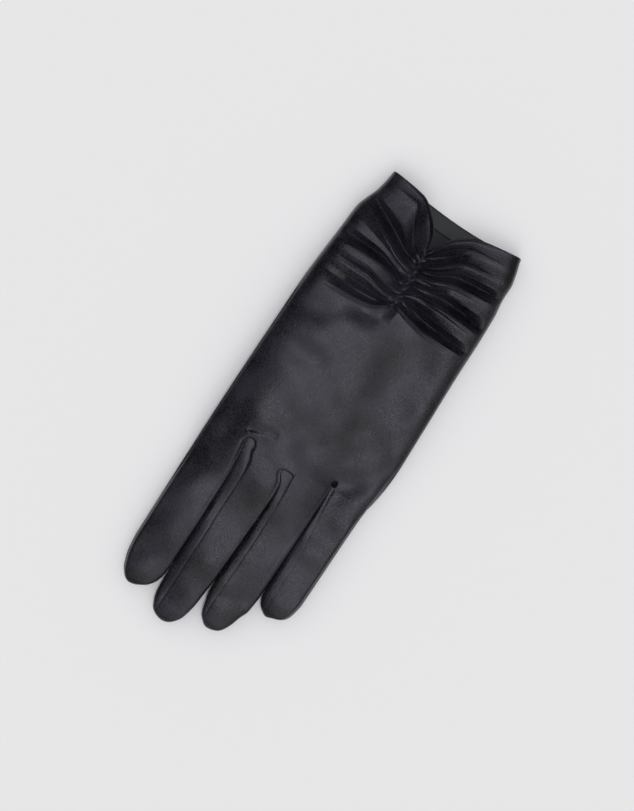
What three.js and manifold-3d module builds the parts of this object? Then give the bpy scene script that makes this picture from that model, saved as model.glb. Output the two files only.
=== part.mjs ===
// A wrist length dress glove of black satin, for the left hand, lying on its palm with the thumb folded
// under it. The hand piece is one cloth, back and palm in one, with a turned up hem and a gathered line
// on the back of the wrist. Three fourchettes are the side strips between the fingers, and the thumb is
// set into an oval hole in the palm. Millimetres, +Z up. +Y runs from the hem to the fingertips and +X to
// the index finger side.
import * as THREE from 'three';
import { mergeVertices } from 'three/addons/utils/BufferGeometryUtils.js';
import Module from 'manifold-3d';

const wasm = await Module();
wasm.setup();

// Driving sizes.
const palmLength = 137; // hem line to the line of the finger crotches
const palmWidth = 82.4; // at the crotch line, where the four fingers share it
const indexLength = 83.3; // crotch line to fingertip
const middleLength = 89.8;
const ringLength = 81.6;
const littleLength = 63.2;
const fingerHeight = 9; // of an empty finger that lies on the table
const wristHeight = 12;
const palmHeight = 9.6;
const sideWallHeight = 4.2; // upright part of each finger's side
const bellyHeight = 2; // floor to the foot of the side wall
const edgeRound = 0.9; // how far the side of the hand bulges
const clothWall = 1;
const hemWall = 1.6; // the cloth lies double in the hem
const hemDip = 3; // how far the palm's hem lies back in the middle
const slopeWall = 0.3; // more wall upright, where the folds are steep
const fingerGap = 0.6; // free air between two fingers
const fingerTaper = 0.02; // share of its width that a finger loses
const seamGap = 0.3; // between two pieces of cloth that are sewn together
const crotchWall = 1.5; // fourchette's thickness where it turns from one finger to the next
const crotchDepth = 2.4; // how far a fourchette's round end reaches back past the crotch
const hollowRunOut = 12; // how far the cuts run out past the hem and past the tips

const ruchedLength = 60; // hem to the last fold on the wrist
const foldHeight = 3;
const puffRound = 0.14; // how full the cloth stands between a valley and a ridge, 0 where it is straight
const gatherGroove = 1.2; // how far the stitches hold the gathered line down
const gatherHalfWidth = 3.5;

const thumbHoleLength = 48.4;
const thumbHoleWidth = 28.6;
const thumbHoleStart = 33.8; // hem line to the near end of the hole
const thumbAcross = 23.7; // gathered line to the middle of the hole
const thumbReach = 91.4; // near end of the hole to the tip of the thumb
const thumbHeight = 7;
const liftMargin = 1; // the palm starts to rise this far beside the folded thumb
const liftLead = 4; // and is all the way up this far before the end of the hole

const halfKnuckle = palmWidth / 2;
const indexShare = 1.034; // the gathered line isn't quite in the middle
const liftHeight = thumbHeight + seamGap; // the palm lies on the folded thumb

const ease = (t) => {
  const c = Math.min(1, Math.max(0, t));
  return c * c * (3 - 2 * c);
};
const mix = (a, b, t) => a + (b - a) * t;
const { cos, sin, PI, abs, sign, min, max } = Math;

// A smooth curve through a few stations that never overshoots them.
function smoothCurve(stations, values) {
  const slopes = values.map((_, i) => {
    if (i === 0 || i === values.length - 1) return 0;
    const before = (values[i] - values[i - 1]) / (stations[i] - stations[i - 1]);
    const after = (values[i + 1] - values[i]) / (stations[i + 1] - stations[i]);
    return before * after <= 0 ? 0 : (2 * before * after) / (before + after);
  });
  const last = values.length - 1;
  slopes[0] = (values[1] - values[0]) / (stations[1] - stations[0]);
  slopes[last] = (values[last] - values[last - 1]) / (stations[last] - stations[last - 1]);
  return (at) => {
    let i = 0;
    while (i < last - 1 && at > stations[i + 1]) i++;
    const span = stations[i + 1] - stations[i];
    const t = min(1, max(0, (at - stations[i]) / span));
    const rest = 1 - t;
    return (
      values[i] * (1 + 2 * t) * rest * rest +
      slopes[i] * span * t * rest * rest +
      values[i + 1] * t * t * (3 - 2 * t) -
      slopes[i + 1] * span * t * t * rest
    );
  };
}

// The sides of the hand. along is a share of palmLength, little and index are shares of half the knuckle
// width.
const palmEdges = [
  { along: -0.015, little: 0.917, index: 0.788 },
  { along: 0.009, little: 0.925, index: 0.79 },
  { along: 0.066, little: 0.973, index: 0.837 },
  { along: 0.146, little: 1.002, index: 0.927 },
  { along: 0.219, little: 1.017, index: 0.951 },
  { along: 0.328, little: 1.02, index: 0.973 },
  { along: 0.438, little: 1.02, index: 0.995 },
  { along: 0.62, little: 1.034, index: 1.01 },
  { along: 0.766, little: 1.039, index: 1.027 },
  { along: 0.912, little: 1.002, index: 1.032 },
  { along: 1, little: 2 - indexShare, index: indexShare },
];
const edgeStations = palmEdges.map((row) => row.along * palmLength);
const littleEdge = smoothCurve(edgeStations, palmEdges.map((row) => -row.little * halfKnuckle));
const indexEdge = smoothCurve(edgeStations, palmEdges.map((row) => row.index * halfKnuckle));

// The gathers. Each row is one line that runs from the gathered line to a side of the wrist, ridge and
// valley in turn. start is its place on the gathered line, and at are its places at the next four
// foldReach, as shares of ruchedLength. rise is how far it stands above or below the smooth wrist at
// those four, as shares of foldHeight.
const foldReach = [0, 0.065, 0.21, 0.47, 1]; // shares of the way to the side
const littleFolds = [
  { start: 0.363, at: [0.292, 0.167, 0.073, 0.02], rise: [0.3, 0.45, 0.1, 0] },
  { start: 0.38, at: [0.342, 0.208, 0.117, 0.083], rise: [-0.1, 0.1, 0, 0] },
  { start: 0.41, at: [0.367, 0.258, 0.158, 0.133], rise: [0.3, 0.4, 0.1, 0] },
  { start: 0.427, at: [0.397, 0.325, 0.208, 0.183], rise: [-0.3, -0.75, -0.15, 0] },
  { start: 0.467, at: [0.462, 0.405, 0.275, 0.233], rise: [0.35, 0.6, 0.3, 0.1] },
  { start: 0.488, at: [0.48, 0.423, 0.308, 0.275], rise: [-0.25, -0.4, -0.2, 0] },
  { start: 0.525, at: [0.497, 0.45, 0.35, 0.317], rise: [0.1, 0.15, 0.15, 0.05] },
  { start: 0.578, at: [0.52, 0.488, 0.417, 0.372], rise: [-0.3, -0.6, -0.9, -0.55] },
  { start: 0.598, at: [0.543, 0.522, 0.462, 0.433], rise: [0.35, 0.55, 0.45, 0.15] },
  { start: 0.615, at: [0.573, 0.573, 0.508, 0.492], rise: [-0.3, -0.5, 0, 0] },
  { start: 0.665, at: [0.618, 0.607, 0.55, 0.55], rise: [0.2, 0.3, 0.25, 0.15] },
  { start: 0.695, at: [0.643, 0.622, 0.6, 0.647], rise: [-0.25, -0.5, -0.9, -0.6] },
  { start: 0.737, at: [0.692, 0.665, 0.658, 0.7], rise: [0.35, 0.6, 0.5, 0.2] },
  { start: 0.768, at: [0.717, 0.693, 0.71, 0.747], rise: [-0.25, -0.6, -0.35, 0] },
  { start: 0.788, at: [0.747, 0.747, 0.767, 0.795], rise: [0.15, 0.35, 0.2, 0.05] },
  { start: 0.807, at: [0.775, 0.798, 0.825, 0.85], rise: [-0.3, -0.75, -0.85, -0.4] },
  { start: 0.837, at: [0.822, 0.85, 0.88, 0.888], rise: [0.2, 0.4, 0.4, 0.1] },
  { start: 0.883, at: [0.875, 0.908, 0.95, 0.975], rise: [0, 0, 0, 0] },
];
const indexFolds = [
  { start: 0.363, at: [0.217, 0.117, 0.017, -0.028], rise: [0.35, 0.45, 0.1, 0] },
  { start: 0.38, at: [0.275, 0.158, 0.05, 0.025], rise: [-0.2, -0.5, -0.1, 0] },
  { start: 0.41, at: [0.4, 0.338, 0.083, 0.067], rise: [0.4, 0.65, 0.2, 0] },
  { start: 0.427, at: [0.422, 0.372, 0.158, 0.133], rise: [-0.1, -0.45, -0.15, 0] },
  { start: 0.467, at: [0.442, 0.417, 0.292, 0.175], rise: [0.1, 0.1, 0.3, 0.1] },
  { start: 0.488, at: [0.467, 0.45, 0.367, 0.217], rise: [-0.4, -0.8, -0.95, -0.3] },
  { start: 0.525, at: [0.533, 0.517, 0.438, 0.267], rise: [0.45, 0.9, 0.95, 0.4] },
  { start: 0.578, at: [0.593, 0.567, 0.505, 0.413], rise: [-0.1, 0, -0.25, -0.25] },
  { start: 0.598, at: [0.61, 0.58, 0.525, 0.492], rise: [0, -0.1, 0.1, 0.15] },
  { start: 0.615, at: [0.65, 0.605, 0.56, 0.563], rise: [-0.45, -0.9, -1, -0.55] },
  { start: 0.665, at: [0.7, 0.645, 0.622, 0.642], rise: [0.3, 0.55, 0.45, 0.25] },
  { start: 0.695, at: [0.74, 0.733, 0.695, 0.695], rise: [-0.25, -0.3, 0.1, 0.1] },
  { start: 0.737, at: [0.775, 0.762, 0.73, 0.737], rise: [0.25, 0.5, 0.3, 0.1] },
  { start: 0.768, at: [0.812, 0.795, 0.767, 0.778], rise: [-0.2, -0.45, -0.25, 0] },
  { start: 0.788, at: [0.828, 0.833, 0.833, 0.825], rise: [0.1, 0.2, 0.15, 0.1] },
  { start: 0.807, at: [0.848, 0.88, 0.892, 0.883], rise: [-0.3, -0.7, -0.8, -0.3] },
  { start: 0.837, at: [0.867, 0.918, 0.943, 0.95], rise: [0.15, 0.35, 0.35, 0.1] },
  { start: 0.883, at: [0.908, 0.967, 1, 1.017], rise: [0, 0, 0, 0] },
];
const foldLine = ({ start, at, rise }) => ({
  along: smoothCurve(foldReach, [start, ...at].map((share) => share * ruchedLength)),
  rise: smoothCurve(foldReach, [0, ...rise].map((share) => share * foldHeight)),
});
const foldLines = { little: littleFolds.map(foldLine), index: indexFolds.map(foldLine) };
const lastFold = littleFolds.length - 1;

// Fingers from the index to the little one. width is a share of palmWidth, and lean is how far the tip
// leans to +X, as a share of the finger's width.
const fingers = [
  { name: 'index', width: 0.257, length: indexLength, lean: 0.05 },
  { name: 'middle', width: 0.267, length: middleLength, lean: 0.08 },
  { name: 'ring', width: 0.248, length: ringLength, lean: 0.14 },
  { name: 'little', width: 0.228, length: littleLength, lean: 0.15 },
];
// Places between and beside the fingers, from the index side. step is how far the crotch lies past the
// crotch line, as a share of fingerHeight. left, right and foot are how far the fourchette reaches to the
// little finger side and to the index side on the back of the hand, and to both sides on the palm, as
// shares of sideWallHeight.
const crotches = [
  { step: 0 },
  { name: 'index_middle', step: -0.11, left: 1.2, right: 0.35, foot: 1.15 },
  { name: 'middle_ring', step: 0.39, left: 1, right: 0.35, foot: 1.15 },
  { name: 'ring_little', step: -0.39, left: 1.05, right: 0.8, foot: 1.15 },
  { step: -0.22 },
];
let across = indexShare * halfKnuckle;
for (const [i, crotch] of crotches.entries()) {
  crotch.x = across;
  crotch.y = palmLength + crotch.step * fingerHeight;
  across -= (fingers[i]?.width ?? 0) * palmWidth;
}
const littleSide = fingers.length; // number of the place beside the little finger

// How far the folded thumb lifts the palm side, in shares of half the hole's width, and the back of the
// hand, across in shares of half the hand's width and along in shares of palmLength. from is where the
// rise starts, over its length.
const palmLift = { from: 0.35, over: 0.56 };
const backLift = { from: 0.55, over: 1.15, fromAlong: 0.2, overAlong: 0.42 };
const fadeShare = 0.85; // share of the index finger over which the lift fades past the thumb's tip
const thumbEnd = thumbHoleStart + thumbReach;
const holeHalf = thumbHoleWidth / 2;
const fade = (y) => 1 - ease((y - thumbEnd) / (fadeShare * indexLength));
const liftBelow = (x, y) =>
  liftHeight *
  ease((x - thumbAcross + (1 + palmLift.from) * holeHalf + liftMargin) / (palmLift.over * holeHalf)) *
  ease((y - thumbHoleStart - liftMargin) / (thumbHoleLength - liftLead)) *
  fade(y);
const liftAbove = (x, y) =>
  liftHeight *
  ease((x + backLift.from * halfKnuckle) / (backLift.over * halfKnuckle)) *
  ease((y - backLift.fromAlong * palmLength) / (backLift.overAlong * palmLength)) *
  fade(y);

// Height of the back over the table where it is highest. along is a share of palmLength.
const crowns = [
  { along: 0, height: 0.86 * wristHeight },
  { along: 0.12, height: 0.96 * wristHeight },
  { along: 0.3, height: wristHeight },
  { along: 0.6, height: palmHeight },
  { along: 1, height: fingerHeight },
];
const crownHeight = smoothCurve(
  crowns.map((row) => row.along * palmLength),
  crowns.map((row) => row.height),
);
const middleHeight = bellyHeight + sideWallHeight / 2;
const hollowSide = 0.8; // height of the side wall inside, as a share of the one outside

// Height across the hand or one finger: (1 - |share|^square)^round, where share runs from -1 to 1.
const arches = {
  hand: { square: 3.2, round: 0.65 },
  finger: { square: 2.4, round: 0.6 },
  palm: { square: 6, round: 0.7 },
  tipWidth: { square: 2.2, round: 0.6 },
  tipHeight: { square: 2.6, round: 0.5 },
};
const arch = (share, { square, round }) => max(0, 1 - abs(share) ** square) ** round;
const palmFlat = 1.06; // over 1, so that the palm rests flat on the table in the middle
const backHeight = (share, crown, kind) => {
  const shoulder = bellyHeight + sideWallHeight;
  return shoulder + (crown - shoulder) * arch(share, kind);
};
const palmSag = (share) => bellyHeight * (1 - min(1, palmFlat * arch(share, arches.palm)));

// The stitches of the gathered line hold the cloth down between the puffs. Shares of ruchedLength.
const gatherRun = { start: 0.3, fadeIn: 0.12, end: 0.84, fadeOut: 0.14 };
const groove = (x, y) =>
  gatherGroove *
  (1 - ease(abs(x) / gatherHalfWidth)) *
  ease((y / ruchedLength - gatherRun.start) / gatherRun.fadeIn) *
  (1 - ease((y / ruchedLength - gatherRun.end) / gatherRun.fadeOut));

// One ring of points round the hand: up the index side, over the back, down the little finger side and
// under the palm.
function ringPlaces({ backSteps, sideSteps, palmSteps }) {
  const places = [];
  for (let i = 0; i < sideSteps; i++) places.push({ zone: 'indexSide', level: mix(-1, 1, i / sideSteps) });
  for (const [f] of fingers.entries())
    for (let i = 0; i < backSteps; i++) places.push({ zone: 'back', f, share: cos((PI * i) / backSteps) });
  for (let i = 0; i < sideSteps; i++) places.push({ zone: 'littleSide', level: mix(1, -1, i / sideSteps) });
  for (let f = fingers.length - 1; f >= 0; f--)
    for (let i = 0; i < palmSteps; i++) places.push({ zone: 'palm', f, share: -cos((PI * i) / palmSteps) });
  return places;
}
// Share of the hand's width at a place, 0 on the little finger side and 1 on the index side.
function shareAcross(place) {
  if (place.zone === 'indexSide') return 1;
  if (place.zone === 'littleSide') return 0;
  const left = crotches[littleSide].x + edgeRound;
  const right = crotches[0].x - edgeRound;
  const slot = fingerSlot(place.f, 0, 0);
  return (mix(slot.left, slot.right, (place.share + 1) / 2) - left) / (right - left);
}
// Sides of a finger at a share of its length. inset is the wall, for the hollow inside.
const slotRun = 0.06; // share of a finger over which the gap beside it opens
function fingerSlot(f, share, inset) {
  const grow = ease(share / slotRun);
  const edge = (crotch, outer, way) =>
    crotch.x - way * (outer ? edgeRound + inset : grow * (edgeRound + inset + fingerGap / 2));
  return {
    right: edge(crotches[f], f === 0, 1),
    left: edge(crotches[f + 1], f + 1 === littleSide, -1),
  };
}
// Where the hand ends at a place between or beside the fingers. The hollow ends before the outside does.
const baseY = (i, inset) => crotches[i].y - (inset > 0 ? crotchWall + inset : 0);
const between = (f, share, inset) => mix(baseY(f + 1, inset), baseY(f, inset), (share + 1) / 2);

// A point of the hand at a number of fold lines from the hem, or past them on the way to the crotches.
const dipRows = 4; // fold lines over which the palm's hem lies back
const hemRows = 2.2; // fold lines over which the cloth lies double
const fingerBlend = 0.9; // share of the way to the crotches where the fingers' own backs start to show
function palmPoint(place, row, inset) {
  const side = shareAcross(place);
  const away = 2 * side - 1;
  const sideEnd = place.zone === 'indexSide' ? 0 : littleSide;
  const goal = place.f === undefined ? baseY(sideEnd, inset) : between(place.f, place.share, inset);
  const fold = min(row, lastFold);
  const past = max(0, row - lastFold); // 0 at the last fold, 1 at the crotches
  // Between two lines the cloth runs from one to the other, and its height swells in a parabola.
  const lineAt = (lines, reach, key) => {
    const k = min(lastFold - 1, Math.floor(fold));
    const [from, to] = [lines[k][key](reach), lines[k + 1][key](reach)];
    const part = fold - k;
    const puff = key === 'rise' ? 4 * part * (1 - part) * puffRound * abs(to - from) : 0;
    return mix(from, to, part) + puff;
  };
  const sideY = {
    little: lineAt(foldLines.little, 1, 'along'),
    index: lineAt(foldLines.index, 1, 'along'),
  };
  const left = littleEdge(mix(sideY.little, crotches[littleSide].y, past)) + edgeRound + inset;
  const right = indexEdge(mix(sideY.index, crotches[0].y, past)) - edgeRound - inset;
  const dip = hemDip * (1 - ease(row / dipRows)) * (1 - away * away);
  let x = mix(left, right, side);
  let y = mix(sideY.little, sideY.index, side) + (place.zone === 'palm' ? dip : 0);
  let rise = 0;
  if (place.zone === 'back') {
    const [lines, edge] = x > 0 ? [foldLines.index, right] : [foldLines.little, left];
    const reach = min(1, x / edge);
    y = lineAt(lines, reach, 'along');
    rise = past > 0 ? 0 : lineAt(lines, reach, 'rise');
  }
  y = mix(y, goal, past);
  const bulge = place.level === undefined ? 0 : edgeRound * (1 - place.level ** 2);
  if (place.zone === 'indexSide') x += bulge;
  if (place.zone === 'littleSide') x -= bulge;

  const knuckle = 2 * fingerHeight; // length over which the arch of the hand turns into the fingers
  const near = ease((y - palmLength + knuckle) / (knuckle + crotches[2].step * fingerHeight));
  const toFinger = place.f === undefined ? 0 : mix(near, 1, ease((past - fingerBlend) / (1 - fingerBlend)));
  const thick = inset > 0 && row < hemRows ? max(inset, hemWall) : inset;
  if (place.zone === 'palm') {
    return [x, y, mix(palmSag(away), palmSag(place.share), toFinger) + liftBelow(x, y) + thick];
  }
  if (place.zone === 'back') {
    const hand = backHeight(away, crownHeight(y), arches.hand);
    const finger = backHeight(place.share, fingerHeight, arches.finger);
    const steep = inset > 0 && past === 0 ? slopeWall : 0;
    return [x, y, mix(hand, finger, toFinger) + liftAbove(x, y) + rise - groove(x, y) - thick - steep];
  }
  const half = (sideWallHeight / 2) * (inset > 0 ? hollowSide : 1);
  const lift = mix(liftBelow(x, y), liftAbove(x, y), (place.level + 1) / 2);
  return [x, y, middleHeight + half * place.level + lift];
}

// One ring round a finger, from its index side over the back. It meets the hand's last row where share is
// 0.
const tipLength = 0.8; // length of the rounded tip, as a share of the finger's width
const tipFloor = 0.12; // share of its height that is left at the very tip
const taperRun = 0.8; // share of the finger over which it loses its taper
function fingerRing(f, share, { backSteps, sideSteps, palmSteps }, inset) {
  const finger = fingers[f];
  const width = finger.width * palmWidth;
  const tip = palmLength + finger.length - inset;
  const slot = fingerSlot(f, share, inset);
  const places = [];
  for (let i = 0; i < sideSteps; i++) places.push({ share: 1, level: mix(-1, 1, i / sideSteps) });
  for (let i = 0; i < backSteps; i++) places.push({ share: cos((PI * i) / backSteps), over: true });
  for (let i = 0; i < sideSteps; i++) places.push({ share: -1, level: mix(1, -1, i / sideSteps) });
  for (let i = 0; i < palmSteps; i++) places.push({ share: -cos((PI * i) / palmSteps) });
  return places.map((place) => {
    const y = mix(between(f, place.share, inset), tip, share);
    // 0 where the rounding starts, 1 at the tip.
    const past = 1 - min(1, max(0, (tip - y) / (tipLength * width)));
    const narrow = arch(past, arches.tipWidth);
    const low = mix(tipFloor, 1, arch(past, arches.tipHeight));
    const taper = 1 - fingerTaper * ease(share / taperRun);
    const middle = (slot.left + slot.right) / 2 + finger.lean * width * (1 - narrow);
    const half = ((slot.right - slot.left) / 2) * taper * narrow;
    const outer = (place.share > 0 && f === 0) || (place.share < 0 && f + 1 === littleSide);
    const round = edgeRound * (outer ? 1 : ease(share / slotRun)) * narrow;
    const bulge = place.level === undefined ? 0 : round * (1 - place.level ** 2) * sign(place.share);
    const x = middle + half * place.share + bulge;
    const pinch = middleHeight / 2; // the tip closes at this height
    const height = (z) => pinch + (z - pinch) * low;
    const lift = { below: liftBelow(x, y), above: liftAbove(x, y) };
    if (place.level !== undefined) {
      const sideHalf = (sideWallHeight / 2) * (inset > 0 ? hollowSide : 1);
      const side = height(middleHeight + sideHalf * place.level);
      return [x, y, side + mix(lift.below, lift.above, (place.level + 1) / 2)];
    }
    const back = backHeight(place.share, fingerHeight, arches.finger);
    if (place.over) return [x, y, height(back - inset) + lift.above];
    return [x, y, height(palmSag(place.share) + inset) + lift.below];
  });
}

// Triangles between rings of as many points, and a fan over a ring.
const band = (out, a, b) => {
  for (let i = 0; i < a.length; i++) {
    const j = (i + 1) % a.length;
    out.push(a[i], a[j], b[i], a[j], b[j], b[i]);
  }
};
const fan = (out, ring, centre, flip) => {
  for (let i = 0; i < ring.length; i++) {
    const j = (i + 1) % ring.length;
    out.push(...(flip ? [ring[j], ring[i], centre] : [ring[i], ring[j], centre]));
  }
};
const middleOf = (ring) => ring.reduce((sum, p) => sum.map((v, k) => v + p[k] / ring.length), [0, 0, 0]);

// A closed solid from a list of corners, three to a triangle.
function solidFrom(corners) {
  const loose = new THREE.BufferGeometry();
  loose.setAttribute('position', new THREE.Float32BufferAttribute(corners.flat(), 3));
  const merged = mergeVertices(loose, 1e-3);
  const triVerts = [];
  const index = merged.index.array;
  const corner = [0, 1, 2].map(() => new THREE.Vector3());
  let volume = 0;
  for (let i = 0; i < index.length; i += 3) {
    const [a, b, c] = [index[i], index[i + 1], index[i + 2]];
    if (a === b || b === c || c === a) continue;
    triVerts.push(a, b, c);
    [a, b, c].forEach((at, k) => corner[k].fromBufferAttribute(merged.attributes.position, at));
    volume += corner[0].dot(corner[1].cross(corner[2]));
  }
  if (volume < 0) triVerts.reverse(); // all faces outward
  return new wasm.Manifold(
    new wasm.Mesh({
      numProp: 3,
      vertProperties: new Float32Array(merged.attributes.position.array),
      triVerts: new Uint32Array(triVerts),
    }),
  );
}

// A strip of triangles between two rows of points that share their two ends.
function zip(out, over, under) {
  let i = 0;
  let j = 0;
  while (i < over.length - 1 || j < under.length - 1) {
    const overIsNext = i < over.length - 1 && over[i + 1][0] > under[j + 1]?.[0];
    if (j === under.length - 1 || overIsNext) {
      out.push(over[i + 1], over[i], under[j]);
      i++;
    } else {
      out.push(over[i], under[j], under[j + 1]);
      j++;
    }
  }
}

// A closed solid through a stack of rings, with a fan over each end.
function stackOf(rings) {
  const corners = [];
  rings.forEach((ring, i) => i && band(corners, rings[i - 1], ring));
  const end = rings[rings.length - 1];
  fan(corners, rings[0], middleOf(rings[0]), true);
  fan(corners, end, middleOf(end), false);
  return solidFrom(corners);
}

// The whole hand as a closed solid: its outside where inset is 0, and otherwise the hollow, which runs
// out at the hem.
// Shares by which the outside turns in at the hem, for a square edge.
const hemLip = { across: 0.92, height: 0.6 };
function handSolid(detail, rows, fingerShares, inset) {
  const { backSteps, sideSteps, palmSteps } = detail;
  const places = ringPlaces(detail);
  const rings = rows.map((row) => places.map((place) => palmPoint(place, row, inset)));
  const corners = [];
  for (let i = 0; i + 1 < rings.length; i++) band(corners, rings[i], rings[i + 1]);
  const runOut = ([x, , z]) => [x, -hollowRunOut, z];
  const turnIn = ([x, y, z]) => [hemLip.across * x, y, mix(z, middleHeight, hemLip.height)];
  const capRing = rings[0].map(inset > 0 ? runOut : turnIn);
  band(corners, capRing, rings[0]);
  // The mouth is closed by a strip between the back's edge and the palm's edge.
  const littleFrom = sideSteps + fingers.length * backSteps;
  const palmFrom = littleFrom + sideSteps;
  zip(corners, capRing.slice(0, palmFrom + 1), [capRing[0], ...capRing.slice(palmFrom).reverse()]);
  const last = rings[rings.length - 1];
  for (const [f] of fingers.entries()) {
    const fingerRings = fingerShares.map((share) => fingerRing(f, share, detail, inset));
    // The finger's first ring takes the hand's own points where the two meet.
    const first = fingerRings[0];
    const take = (to, from, steps) => {
      for (let i = 0; i <= steps; i++) first[(to + i) % first.length] = last[(from + i) % last.length];
    };
    take(sideSteps, sideSteps + f * backSteps, backSteps);
    take(2 * sideSteps + backSteps, palmFrom + (fingers.length - 1 - f) * palmSteps, palmSteps);
    if (f === 0) take(0, 0, sideSteps);
    if (f + 1 === littleSide) take(sideSteps + backSteps, littleFrom, sideSteps);
    // Between two fingers the crotch is an upright line that both share.
    const upright = (start) => {
      const from = first[start];
      const to = first[(start + sideSteps) % first.length];
      for (let i = 1; i < sideSteps; i++) {
        first[start + i] = from.map((v, k) => mix(v, to[k], i / sideSteps));
      }
    };
    if (f > 0) upright(0);
    if (f + 1 < littleSide) upright(sideSteps + backSteps);
    for (let i = 0; i + 1 < fingerRings.length; i++) band(corners, fingerRings[i], fingerRings[i + 1]);
    const end = fingerRings[fingerRings.length - 1];
    fan(corners, end, middleOf(end), false);
  }
  return solidFrom(corners);
}

// Steps round the hand, rows past the last fold as shares of the way to the crotches, and rows of a
// finger as shares of its length. The hollow is coarser than the outside.
const outsideSteps = { backSteps: 7, sideSteps: 2, palmSteps: 3 };
const hollowSteps = { backSteps: 7, sideSteps: 1, palmSteps: 3 };
const outsideRows = [0.1, 0.25, 0.42, 0.6, 0.77, 0.9, 1];
const hollowRows = [0.1, 0.42, 0.77, 1];
const outsideShares = [0, 0.02, 0.06, 0.16, 0.36, 0.56, 0.78, 0.86, 0.92, 0.96, 0.985, 0.997];
const hollowShares = [0, 0.03, 0.08, 0.36, 0.78, 0.88, 0.95, 0.99];
const rowsOf = (step, past) => [
  ...Array.from({ length: lastFold / step + 1 }, (_, i) => i * step),
  ...past.map((share) => lastFold + share),
];
const outside = handSolid(outsideSteps, rowsOf(1 / 2, outsideRows), outsideShares, 0);
const hollow = handSolid(hollowSteps, rowsOf(1, hollowRows), hollowShares, clothWall);
const shell = outside.subtract(hollow);

// The space that one fourchette takes out of the shell, grown by the seam gap for the hand piece. Seen
// from above it is a slot with a round end, and it is wider on the palm than on the back.
const slotSteps = 5; // around the round end
const slotShift = 1; // middle of the round end past the crotch
function fourchetteSpace(crotch, grow) {
  const levels = [
    { z: -slotShift, left: crotch.foot, right: crotch.foot },
    { z: fingerHeight + liftHeight, left: crotch.left, right: crotch.right },
  ];
  const far = palmLength + middleLength + hollowRunOut;
  const depth = crotchDepth + slotShift + grow;
  const rings = levels.map(({ z, left, right }) => {
    const middle = crotch.x + ((right - left) / 2) * sideWallHeight;
    const half = ((left + right) / 2) * sideWallHeight + grow;
    const ring = [[middle + half, far, z], [middle - half, far, z]];
    for (let i = 0; i <= slotSteps; i++) {
      const angle = PI + (PI * i) / slotSteps;
      ring.push([middle + half * cos(angle), crotch.y + slotShift + depth * sin(angle), z]);
    }
    return ring;
  });
  return stackOf(rings);
}

// The thumb. Each row is one ring from the hole to the tip: along is the middle of the ring and slant its
// half length along the hand, shares of thumbReach. right is its middle and half its half width, shares
// of half the hole's width.
const thumbRings = [
  { along: 0.3, slant: 0.235, right: 0.02, half: 0.985, top: 1 },
  { along: 0.34, slant: 0.2, right: 0.04, half: 0.96, top: 1 },
  { along: 0.41, slant: 0.15, right: 0.07, half: 0.92, top: 1 },
  { along: 0.5, slant: 0.1, right: 0.1, half: 0.88, top: 1 },
  { along: 0.6, slant: 0.05, right: 0.13, half: 0.84, top: 1 },
  { along: 0.72, slant: 0.015, right: 0.16, half: 0.82, top: 1 },
  { along: 0.82, slant: 0, right: 0.19, half: 0.8, top: 0.98 },
  { along: 0.88, slant: 0, right: 0.2, half: 0.77, top: 0.95 },
  { along: 0.93, slant: 0, right: 0.21, half: 0.68, top: 0.88 },
  { along: 0.965, slant: 0, right: 0.22, half: 0.55, top: 0.76 },
  { along: 0.987, slant: 0, right: 0.22, half: 0.37, top: 0.58 },
  { along: 0.997, slant: 0, right: 0.22, half: 0.18, top: 0.4 },
];
const palmUnderside = (x, y) => {
  const left = littleEdge(y) + edgeRound;
  const right = indexEdge(y) - edgeRound;
  return palmSag((2 * (x - left)) / (right - left) - 1) + liftBelow(x, y);
};
const thumbWaist = 0.42; // height of the widest line round the thumb, as a share of its top
const thumbRound = { side: 0.85, height: 0.6 }; // exponents of its round: less is squarer
const thumbFlat = 1.04; // over 1, so that the thumb rests flat on the table
const mouthRise = 3; // how far the thumb's hollow runs out of its mouth
// An oval ring on the underside of the palm, round the middle of the hole.
const mouthRing = (steps, grow, rise) =>
  Array.from({ length: steps }, (_, i) => {
    const angle = (2 * PI * i) / steps;
    const x = thumbAcross + (holeHalf + grow) * cos(angle);
    const y = thumbHoleStart + thumbHoleLength / 2 + (thumbHoleLength / 2 + grow) * sin(angle);
    return [x, y, palmUnderside(x, y) + rise];
  });
function thumbSolid(steps, inset) {
  const [start, end] = inset > 0 ? [mouthRise, inset] : [clothWall, 0];
  const rings = [mouthRing(steps, -inset, start), mouthRing(steps, -inset, end)];
  for (const row of thumbRings) {
    const half = row.half * holeHalf - inset;
    const slant = row.slant === 0 ? 0 : max(0, row.slant * thumbReach - inset);
    const top = thumbHeight * row.top;
    const waist = thumbWaist * top;
    const ring = Array.from({ length: steps }, (_, i) => {
      const angle = (2 * PI * i) / steps;
      const up = sin(angle);
      const reach = sign(cos(angle)) * abs(cos(angle)) ** thumbRound.side;
      const x = thumbAcross + row.right * holeHalf + half * reach;
      const y = thumbHoleStart + row.along * (thumbReach - inset) + slant * up;
      const ceiling = max(waist, palmUnderside(x, y) - seamGap);
      const over = min(waist + (top - waist) * max(0, up) ** thumbRound.height, ceiling);
      const under = waist * (1 - min(1, thumbFlat * max(0, -up) ** thumbRound.height));
      return [x, y, up > 0 ? over - inset * ease(2 * up) : under + inset * ease(-2 * up)];
    });
    rings.push(ring);
  }
  return stackOf(rings);
}
// The hole in the palm that the thumb is sewn into.
const holeSteps = 24;
const holeTop = 2.5 * clothWall; // how far the cut reaches above the palm's underside
const floorRing = mouthRing(holeSteps, seamGap, 0).map(([x, y]) => [x, y, -bellyHeight]);
const thumbHole = stackOf([floorRing, mouthRing(holeSteps, seamGap, holeTop)]);

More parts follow.
